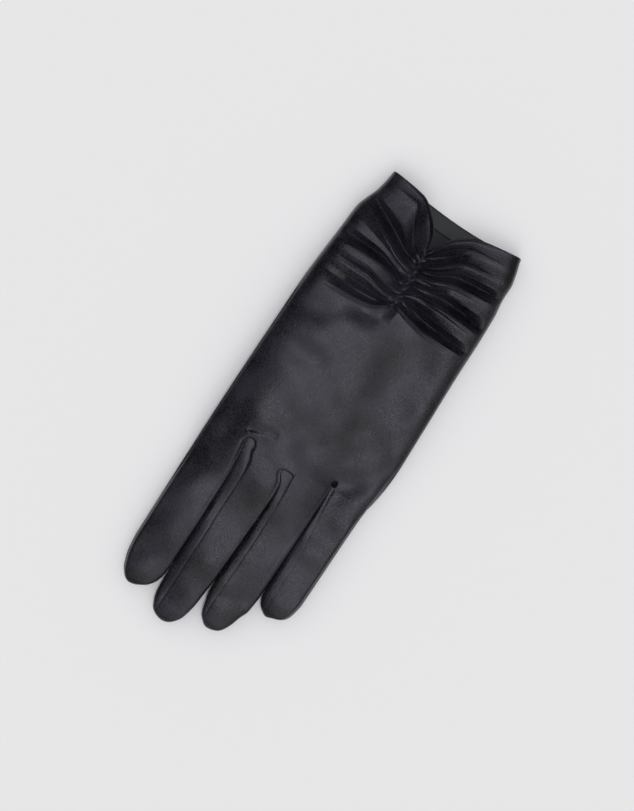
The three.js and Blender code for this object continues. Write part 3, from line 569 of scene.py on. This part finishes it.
def wall(top, foot, bulge):
    # The upright side between the back's edge and the palm's: an even run down that bows out by bulge.
    level = np.linspace(1, -1, mesh["sideSteps"] + 1)[None, :, None]
    points = mix(foot[:, None, :], top[:, None, :], (level + 1) / 2)
    points[..., 0] += bulge[:, None] * (1 - level[..., 0] ** 2)
    return points


def ringOf(grids):
    # Back and palm joined by the two upright sides, as one closed ring of columns that starts on the index side.
    back, palm = grids["back"], grids["palm"][:, ::-1]
    bulge = np.full(len(back), glove["edgeRound"])
    indexSide = wall(back[:, 0], palm[:, -1], bulge)[:, ::-1]
    littleSide = wall(back[:, -1], palm[:, 0], -bulge)
    return np.concatenate([indexSide[:, :-1], back[:, :-1], littleSide[:, :-1], palm], axis=1)


def insideRing(rows, offset):  # the hand's own ring, set in by the offset of each row
    return ringOf(handGrid(rows, np.asarray(offset)[:, None]))


def fingerGrid(f, shares):
    # Back, palm and both sides of one finger for each share of its length. Widths and heights go over smoothly from
    # the hand's last row, and a round power of the distance to the tip makes it thinner there.
    finger = fingers[f]
    t = shares[:, None]
    out = {}
    for zone, allCols in (("back", backCols), ("palm", palmCols)):
        under = zone == "palm"
        mine = np.flatnonzero(allCols["finger"] == f)
        cols = {key: value[mine] for key, value in allCols.items()}
        if f < len(fingers) - 1:  # it ends where the next finger starts
            cols = {key: np.append(value, value[-1]) for key, value in cols.items()}
            cols["share"][-1] = 1.0
            mine = np.append(mine, mine[-1] + 1)
        baseX, baseY, baseZ = handBase[zone][mine].T
        y = mix(baseY, finger["tip"], t)
        x = mix(baseX, acrossAt(cols, y, under), ramp(t, (0, glove["rootShare"])))
        right, _, _, left = sideLines(f, y, under)
        close = 1 - np.clip((finger["tip"] - y) / glove["tipRun"], 0, 1)
        thick = mix(glove["tipThick"], 1, np.sqrt(1 - close ** glove["tipPower"]))
        if under:
            half = np.maximum((right - left) / 2, 1e-6)  # never 0
            z = palmSag(np.clip((x - (right + left) / 2) / half, -1, 1))
        else:
            z = fingerTop(f, x, y, right, left) + softForms(x, y) - seamGroove(x, y)
        z = mix(glove["tipMiddle"], z, thick) + lifted(lift["below" if under else "above"], x, y)
        z = mix(baseZ, z, ramp(t, (0, glove["rootRise"])))
        out[zone] = np.stack([x, y, z], -1)
        out[zone + "Cols"] = cols
    closing = ease((finger["tip"] - out["back"][:, 0, 1]) / glove["tipClose"])
    growing = 0.5 * glove["slitGap"] * ramp(shares, (0, glove["rootShare"]))
    for side, slit, at, way in (("right", slits[f], 0, 1), ("left", slits[f + 1], -1, -1)):
        size = glove["edgeRound"] if "edge" in slit else growing
        out[side] = wall(out["back"][:, at], out["palm"][:, at], way * size * closing)
    return out


def partOf(grid, zone, part):  # the columns of one part of a finger, up to the first column of the next part
    parts = grid[zone + "Cols"]["part"]
    keep = np.flatnonzero(parts == part)
    if keep[-1] + 1 < len(parts):
        keep = np.append(keep, keep[-1] + 1)
    return grid[zone][:, keep]


def placed(points):  # from the glove's own millimetres to the frame
    middle = (cadBox[0][0] + cadBox[1][0]) / 2
    shift = np.array([middle * 1000 + glove["aside"], cadBox[0][1] * 1000 + glove["hemReach"], 0])
    return (points + shift) * 0.001


def addObject(name, data):  # an object for some data, in the scene
    made = bpy.data.objects.new(name, data)
    bpy.context.scene.collection.objects.link(made)
    return made


def meshFromGrids(name, grids, flips=None, slots=None, weld=2e-5):
    # Each grid is rows by columns of points, and becomes quads. Points closer than weld, in metres, become one.
    points, quads, finish, start = [], [], [], 0
    for n, grid in enumerate(grids):
        rows, columns = grid.shape[:2]
        at = start + np.arange(rows * columns).reshape(rows, columns)
        quad = np.stack([at[:-1, :-1], at[1:, :-1], at[1:, 1:], at[:-1, 1:]], -1).reshape(-1, 4)
        quads.append(quad[:, ::-1] if flips and flips[n] else quad)
        points.append(grid.reshape(-1, 3))
        finish.append(np.full(len(quad), slots[n] if slots else 0))
        start += rows * columns
    data = bpy.data.meshes.new(name)
    data.from_pydata(placed(np.concatenate(points)), [], np.concatenate(quads))
    data.polygons.foreach_set("material_index", np.concatenate(finish).astype(np.int32))
    work = bmesh.new()
    work.from_mesh(data)
    bmesh.ops.remove_doubles(work, verts=work.verts, dist=weld)
    bmesh.ops.dissolve_degenerate(work, edges=work.edges, dist=1e-6)
    work.to_mesh(data)
    work.free()
    data.shade_smooth()
    return addObject(name, data)


def thicken(piece, millimetres):  # solidify inwards, with a rim round the opening
    cloth = piece.modifiers.new("cloth", "SOLIDIFY")
    cloth.thickness = millimetres * 0.001
    cloth.offset = -1
    cloth.use_rim = True


def buildHandPiece(outer):
    # Rings from deep inside to the hem, half a turn round it, and on to the crotches, then the backs and the palms of
    # the fingers. Inside, the turned up hem steps in over the cloth's other face.
    outerRing = ringOf(outer)
    turn, cloth, reach = wrist["hemTurn"], glove["cloth"], wrist["insideReach"]
    rows = np.linspace(reach, turn + wrist["hemStep"][0], mesh["insideRows"])
    deep = insideRing(rows, np.where(rows == reach, wrist["insideEnd"], cloth))
    rows = np.append(turn + wrist["hemStep"][1], np.linspace(turn, wrist["hemEnd"], mesh["hemRows"]))
    inside = insideRing(rows, np.append(cloth, np.full(mesh["hemRows"], wrist["hemOffset"])))
    start, end = inside[-1], outerRing[0]
    angle = np.linspace(0, np.pi, mesh["rollSteps"] + 1)[1:-1, None, None]
    roll = (start + end) / 2 - (end - start) / 2 * np.cos(angle)
    roll[..., 1] -= wrist["hemRoll"] * np.sin(angle[..., 0])
    half = len(roll) // 2
    grids = [deep, np.concatenate([deep[-1:], inside, roll[:half + 1]]), np.concatenate([roll[half:], outerRing])]
    flips, finish = [False] * 3, [2, 1, 0]  # finish counts the materials: outside, hem and the cloth's other face
    sides = {0: "right", len(fingers) - 1: "left"}  # the outer sides of the hand
    for f, grid in enumerate(fingerGrids):
        grids += [partOf(grid, "back", 1), partOf(grid, "palm", 1)]
        flips += [False, True]
        if f in sides:
            grids.append(grid[sides[f]])
            flips.append(sides[f] == "right")
    return meshFromGrids("handPiece", grids, flips, finish + [0] * (len(grids) - 3))


def buildSideStrip(c):
    # Two flanks, one of each finger, each with its margins above and below. They meet upright at the crotch.
    grids, flips = [], []
    for f, part, side in ((c - 1, 2, "left"), (c, 0, "right")):
        grid = fingerGrids[f]
        grids += [partOf(grid, "back", part), partOf(grid, "palm", part), grid[side]]
        flips += [False, True, side == "right"]
    return meshFromGrids("sideStrip" + str(c), grids, flips)


print("stage: shapes of the hand")
rowShares = np.concatenate([
    mesh["rootRows"], np.linspace(*mesh["fingerSpan"], mesh["fingerRows"]),
    mix(mesh["fingerSpan"][1], 1, np.sin(np.linspace(0, np.pi / 2, mesh["tipRows"] + 1)[1:])),  # closer at the tip
])
handBase = {zone: grid[-1] for zone, grid in handGrid([lastFold + 1]).items()}
fingerGrids = [fingerGrid(f, rowShares) for f in range(len(fingers))]
foldRows = np.append((np.arange(lastFold)[:, None] + cosineSteps(wrist["stepsPerFold"])[:-1]).ravel(), lastFold)
palmRows = lastFold + 1 - (1 - np.arange(1, mesh["palmRows"] + 1) / mesh["palmRows"]) ** mesh["palmPacking"]
handRows = handGrid(np.concatenate([foldRows, palmRows]))
handPiece = buildHandPiece(handRows)
print("stage: hand piece", len(handPiece.data.polygons))
fourchettes = [buildSideStrip(c) for c in range(1, len(slits) - 1)]
print("stage: fourchettes", [len(piece.data.polygons) for piece in fourchettes])

# The thumb lies under the palm, sewn into the oval hole. Lengths in millimetres.
thumb = {
    "across": 23.7,  # x of its middle
    "holeStart": 33.8, "holeLength": 48.4, "holeWidth": 28.6,
    "reach": 91.4,  # from the hole's start to its tip
    "height": 7.0,
    "waist": 0.42,  # share of the height where it is widest
    "square": 0.85,  # powers below 1 make it fuller than an oval, across and upwards
    "full": 0.6,
    "flat": 1.04,
    "clearance": 0.3,  # to the palm above
    "mouth": 1.0,  # how far its edge stands up in the hand
    "around": 56, "rings": 70, "packing": 0.9,
}
# Rings from the hole to the tip. along and slant are shares of the reach, right and half of the hole's half width.
thumbRings = {
    "along": [0.3, 0.34, 0.41, 0.5, 0.6, 0.72, 0.82, 0.88, 0.93, 0.965, 0.987, 0.998],
    "slant": [0.235, 0.2, 0.15, 0.1, 0.05, 0.015, 0, 0, 0, 0, 0, 0],
    "right": [0.02, 0.04, 0.07, 0.1, 0.13, 0.16, 0.19, 0.2, 0.21, 0.22, 0.22, 0.22],
    "half": [0.985, 0.96, 0.92, 0.88, 0.84, 0.82, 0.8, 0.77, 0.68, 0.52, 0.32, 0.1],
    "top": [1, 1, 1, 1, 1, 1, 0.98, 0.95, 0.88, 0.76, 0.58, 0.4],
}


def buildThumb():
    # Each ring is an oval that is rounder above than below, and leans from the hole's plane to upright.
    place = np.linspace(0, 1, thumb["rings"]) ** thumb["packing"] * (len(thumbRings["along"]) - 1)
    row = {key: smoothCurve(np.arange(len(value)), value)(place)[:, None] for key, value in thumbRings.items()}
    angle = np.linspace(0, 2 * np.pi, thumb["around"] + 1)[None, :]
    up, aside = np.sin(angle), np.cos(angle)
    half, reach = thumb["holeWidth"] / 2, thumb["reach"]
    x = thumb["across"] + half * (row["right"] + row["half"] * np.sign(aside) * np.abs(aside) ** thumb["square"])
    y = thumb["holeStart"] + reach * (row["along"] + row["slant"] * up)
    top = thumb["height"] * row["top"]
    waist = thumb["waist"] * top
    ceiling = np.maximum(waist, palmUnder(x, y) - thumb["clearance"])
    over = np.minimum(waist + (top - waist) * np.clip(up, 0, 1) ** thumb["full"], ceiling)
    under = waist * (1 - np.minimum(1, thumb["flat"] * np.clip(-up, 0, 1) ** thumb["full"]))
    body = np.stack([x, y, np.where(up > 0, over, under)], -1)
    holeX = thumb["across"] + half * aside
    holeY = thumb["holeStart"] + thumb["holeLength"] / 2 * (1 + up)
    hole = np.stack([holeX, holeY, palmUnder(holeX, holeY)], -1)
    return meshFromGrids("thumbPiece", [np.concatenate([hole + [0, 0, thumb["mouth"]], hole, body])])


thumbPiece = buildThumb()
thicken(thumbPiece, glove["cloth"])
print("stage: thumb", len(thumbPiece.data.polygons))

stitches = {
    "gather": {"pitch": 2.15, "length": 1.55, "rise": 0.3, "sink": 0.12, "radius": 0.2},
    "hem": {"pitch": 2.6, "length": 1.7, "rise": 0.02, "sink": 0.05, "radius": 0.11},
}


def stitchRow(name, path, up, size):
    # Stitches along a path of points. Each is a tube whose radius is the root of a parabola over its length, and whose
    # middle arches up by the same parabola.
    path = np.asarray(path, float)
    run = np.append(0, np.cumsum(np.linalg.norm(np.diff(path, axis=0), axis=1)))
    count = int(run[-1] / size["pitch"])
    starts = (np.arange(count) + 0.5) * run[-1] / count - size["length"] / 2
    u = np.linspace(0, 1, mesh["stitchSteps"] + 1)
    at = starts[:, None] + u[None, :] * size["length"]
    middle = np.stack([np.interp(at, run, path[:, k]) for k in range(3)], -1)
    along = np.gradient(middle, axis=1)
    along /= np.linalg.norm(along, axis=-1, keepdims=True)
    side = np.cross(along, np.asarray(up, float))
    side /= np.linalg.norm(side, axis=-1, keepdims=True)
    over = np.cross(side, along)
    parabola = 4 * u * (1 - u)
    middle = middle + over * (size["rise"] * parabola - size["sink"])[None, :, None]
    thick = size["radius"] * np.sqrt(parabola)[None, :, None, None]
    angle = np.linspace(0, 2 * np.pi, mesh["stitchSides"] + 1)[None, None, :, None]
    rings = middle[:, :, None] + thick * (np.cos(angle) * side[:, :, None] + np.sin(angle) * over[:, :, None])
    return meshFromGrids(name, list(rings), weld=1e-6)


back = handRows["back"]
spine = back[:, np.argmin(np.abs(back[mesh["spineRow"], :, 0]))]
spine = spine[(spine[:, 1] > gather["thread"][0]) & (spine[:, 1] < gather["thread"][1])]
gatherThread = stitchRow("gatherThread", spine, (0, 0, 1), stitches["gather"])
hemLine = handGrid([wrist["hemTurn"]])["palm"][0]
hemThread = stitchRow("hemThread", hemLine[2:-2], (0, 0, -1), stitches["hem"])  # the outermost columns are left out
print("stage: stitches", len(gatherThread.data.polygons), len(hemThread.data.polygons))

# Satin's grain: four noises, and how much each counts in the tone, the roughness and the height. Scales are per metre.
grain = {
    "stretch": (2600, 520, 2600),  # the floats of the weave are noise drawn out along the piece
    "noises": {
        "floats": {"Scale": 1.0, "Detail": 2.0, "Roughness": 0.6},
        "speckle": {"Scale": 2500.0, "Detail": 1.0},
        "creases": {"Scale": 190.0, "Detail": 3.0, "Roughness": 0.55},
        "mottle": {"Scale": 48.0, "Detail": 2.0, "Roughness": 0.5},
    },
    "tone": {"speckle": 1.9, "floats": 0.3, "creases": 0.2, "mottle": 1.3},
    "toneRange": {"From Min": 1.6, "From Max": 2.13},
    "rough": {"mottle": 0.1, "speckle": 0.4},
    "height": {"floats": 0.15, "creases": 0.25, "speckle": 0.55},
    "bumpDistance": 0.0002,
    "sheenRoughness": 0.4,
    "sheenTint": (0.8, 0.78, 0.9, 1),
}
thread = {
    "colour": (0.011, 0.0105, 0.012), "roughness": 0.5, "bump": 0.5, "bumpDistance": 0.0001,
    # the colour's scale from the grooves to the tops of the plies: painted shade and painted light
    "plies": {"Scale": 900.0, "Distortion": 1.5}, "plyShading": {"To Min": 0.4, "To Max": 1.3},
}
looks = {  # dark, light, turn of the weave, gloss, bump, specular and sheen
    "satin": ((0.001, 0.0009, 0.0014), (0.0232, 0.0215, 0.0316), 0.0, 0.08, 0.8, 0.28, 0.01),
    "hemSatin": ((0.01, 0.0118, 0.011), (0.027, 0.032, 0.03), 0.0, 0.25, 0.4, 0.3, 0.03),
    "reverseSatin": ((0.011, 0.0124, 0.012), (0.028, 0.032, 0.0305), 0.0, 0.35, 0.4, 0.26, 0.03),
    "fourchetteSatin": ((0.001, 0.0009, 0.0014), (0.0245, 0.0228, 0.0335), 1.2, 0.1, 0.7, 0.29, 0.01),
}


def fill(node, inputs):  # links each input to a socket or to a node's first one, or else sets its value
    for key, value in inputs.items():
        if isinstance(value, bpy.types.Node):
            value = value.outputs[0]
        if isinstance(value, bpy.types.NodeSocket):
            node.id_data.links.new(value, node.inputs[key])
        else:
            node.inputs[key].default_value = value


def nodeTree(tree):  # gives add, which makes a node in the tree
    def add(kind, inputs=None, **settings):  # inputs by socket, settings by name
        node = tree.nodes.new("ShaderNode" + kind)
        for key, value in settings.items():
            setattr(node, key, value)
        fill(node, inputs or {})
        return node

    return add


def newMaterial(name):  # a material with its shader and add
    material = bpy.data.materials.new(name)
    material.use_nodes = True
    return material, material.node_tree.nodes["Principled BSDF"], nodeTree(material.node_tree)


def buildSatinGrain():
    # Colour runs from Dark to Light with a weighed sum of the noises, and Roughness and Height are sums of their own.
    group = bpy.data.node_groups.new("satinGrain", "ShaderNodeTree")
    for way, sockets in (
        ("INPUT", {"Vector": "Vector", "Dark": "Color", "Light": "Color", "Turn": "Float", "Gloss": "Float"}),
        ("OUTPUT", {"Color": "Color", "Roughness": "Float", "Height": "Float"}),
    ):
        for name, kind in sockets.items():
            group.interface.new_socket(name, in_out=way, socket_type="NodeSocket" + kind)
    add = nodeTree(group)
    given = group.nodes.new("NodeGroupInput").outputs
    turned = add("VectorRotate", {"Vector": given["Vector"], "Angle": given["Turn"]}, rotation_type="Z_AXIS")
    drawn = add("VectorMath", {0: turned, 1: grain["stretch"]}, operation="MULTIPLY")
    noises = {
        name: add("TexNoise", {"Vector": drawn if name == "floats" else given["Vector"], **settings})
        for name, settings in grain["noises"].items()
    }

    def weigh(weights):  # sum of the noises, each times its weight
        total = None
        for name, weight in weights.items():
            term = add("Math", {0: noises[name], 1: weight}, operation="MULTIPLY")
            total = term if total is None else add("Math", {0: total, 1: term})
        return total

    spread = add("MapRange", {"Value": weigh(grain["tone"]), **grain["toneRange"]})
    # 6 and 7 are the two colours of a mix.
    mixed = add("Mix", {0: spread, 6: given["Dark"], 7: given["Light"]}, data_type="RGBA")
    rough = add("Math", {0: weigh(grain["rough"]), 1: given["Gloss"]})
    height = weigh(grain["height"])
    fill(group.nodes.new("NodeGroupOutput"), {"Color": mixed.outputs[2], "Roughness": rough, "Height": height})
    return group


def satinMaterial(name, dark, light, turn, gloss, bump, specular, sheen):
    # The grain gives colour, roughness and height. The rest are plain values.
    material, shader, add = newMaterial(name)
    weave = add("Group", node_tree=satinGrain)
    fill(weave, {
        "Vector": add("TexCoord").outputs["Object"], "Dark": (*dark, 1), "Light": (*light, 1),
        "Turn": turn, "Gloss": gloss,
    })
    height = weave.outputs["Height"]
    fill(shader, {
        "Base Color": weave.outputs["Color"], "Roughness": weave.outputs["Roughness"],
        "Normal": add("Bump", {"Strength": bump, "Distance": grain["bumpDistance"], "Height": height}),
        "Specular IOR Level": specular, "Sheen Weight": sheen,
        "Sheen Roughness": grain["sheenRoughness"], "Sheen Tint": grain["sheenTint"],
    })
    return material


def threadMaterial(name):
    # Two plies: bands across the thread in a wave. It raises the bump, and paints shade in the grooves and light on
    # top.
    material, shader, add = newMaterial(name)
    coords = add("TexCoord").outputs["Object"]
    plies = add("TexWave", {"Vector": coords, **thread["plies"]}, bands_direction="DIAGONAL").outputs["Fac"]
    # painted shade in the grooves between the plies and painted light on their tops
    plyShading = add("MapRange", {"Value": plies, **thread["plyShading"]})
    shade = add("VectorMath", {0: thread["colour"], "Scale": plyShading}, operation="SCALE")
    bump = add("Bump", {"Strength": thread["bump"], "Distance": thread["bumpDistance"], "Height": plies})
    fill(shader, {"Base Color": shade, "Normal": bump, "Roughness": thread["roughness"]})
    return material


satinGrain = buildSatinGrain()
materials = {name: satinMaterial(name, *look) for name, look in looks.items()}
materials["thread"] = threadMaterial("blackThread")
for piece, names in (
    (handPiece, ["satin", "hemSatin", "reverseSatin"]),
    (thumbPiece, ["satin"]), (gatherThread, ["thread"]), (hemThread, ["thread"]),
    *[(strip, ["fourchetteSatin"]) for strip in fourchettes],
):
    for name in names:
        piece.data.materials.append(materials[name])
    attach(piece, "root")
print("stage: materials", list(materials))

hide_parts("hand_piece")
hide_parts("thumb")
for piece, slit in zip(fourchettes, slits[1:-1]):
    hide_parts("fourchette_" + slit["name"])

# Floor, light and camera. Lengths here are in metres.
studio = {
    "floorSize": 6.0, "floorColour": 0.9, "floorRoughness": 0.95, "floorSpecular": 0.1,
    "frameHeight": 0.3671,  # what the picture's height covers on the glove
    "frameMiddle": (0.00474, -0.00584),
    "imageRight": (-0.8434, -0.5373),
    "cameraHeight": 0.9, "sensor": 36,
    "focus": 0.008,  # height over the floor of what frameHeight is measured on
    "suns": {
        "overhead": {"strength": 0.8, "angle": 0.12, "from": (-0.09, -0.06, 1), "colour": (0.87, 0.84, 1.0)},
        "key": {"strength": 0.55, "angle": 0.8, "from": (-0.36, 0.52, 0.78), "colour": (1.0, 0.98, 0.97)},
    },
    # The satin mirrors a tent that glows on one side. All else gets even light, and the camera sees an even backdrop.
    "tentFrom": (-0.66, 0.36, 0.66),
    "tentGlow": {"From Min": 0.35, "From Max": 1.0, "To Min": 0.0, "To Max": 0.8},
    "tentColour": (0.99, 1, 0.95, 1),
    "ambient": 0.54, "backdrop": 0.8,
}


def buildFloor():  # one square of paper at height 0
    size = studio["floorSize"]
    data = bpy.data.meshes.new("floor")
    corners = [(-size, -size, 0), (size, -size, 0), (size, size, 0), (-size, size, 0)]
    data.from_pydata(corners, [], [(0, 1, 2, 3)])
    floor = addObject("floor", data)
    paper, shader, _ = newMaterial("paper")
    fill(shader, {
        "Base Color": (*[studio["floorColour"]] * 3, 1), "Roughness": studio["floorRoughness"],
        "Specular IOR Level": studio["floorSpecular"],
    })
    data.materials.append(paper)


def buildCamera():  # looks straight down, turned so that imageRight runs to the right, and its lens covers frameHeight
    camera = bpy.data.cameras.new("camera")
    camera.sensor_fit = "VERTICAL"
    camera.sensor_width = camera.sensor_height = studio["sensor"]
    camera.lens = studio["sensor"] * studio["cameraHeight"] / studio["frameHeight"]
    holder = addObject("camera", camera)
    rightX, rightY = studio["imageRight"]
    place = np.eye(4)
    place[:3, 0], place[:3, 1] = (rightX, rightY, 0), (-rightY, rightX, 0)
    place[:3, 3] = (*studio["frameMiddle"], studio["cameraHeight"] + studio["focus"])
    holder.matrix_world = mathutils.Matrix(place.tolist())
    bpy.context.scene.camera = holder


def buildSuns():  # each shines from its point towards the middle
    for name, look in studio["suns"].items():
        light = bpy.data.lights.new(name, "SUN")
        light.energy = look["strength"]
        light.angle = look["angle"]
        light.color = look["colour"]
        lamp = addObject(name, light)
        lamp.location = look["from"]
        lamp.rotation_euler = mathutils.Vector(look["from"]).to_track_quat("Z", "Y").to_euler()


def buildTent():  # the glow grows with the cosine of the angle to tentFrom
    world = bpy.data.worlds.new("tent")
    world.use_nodes = True
    add = nodeTree(world.node_tree)
    toTent = tuple(np.array(studio["tentFrom"]) / np.linalg.norm(studio["tentFrom"]))
    toSky = add("TexCoord").outputs["Generated"]
    facing = add("VectorMath", {0: toSky, 1: toTent}, operation="DOT_PRODUCT")
    glow = add("MapRange", {"Value": facing.outputs["Value"], **studio["tentGlow"]})
    path = add("LightPath").outputs
    shown = add("Mix", {0: path["Is Glossy Ray"], 2: studio["ambient"], 3: glow})
    seen = add("Mix", {0: path["Is Camera Ray"], 2: shown, 3: studio["backdrop"]})
    fill(world.node_tree.nodes["Background"], {"Strength": seen, "Color": studio["tentColour"]})
    bpy.context.scene.world = world


buildFloor()
buildCamera()
buildSuns()
buildTent()
bpy.context.scene.view_settings.view_transform = "Standard"
print("stage: studio")
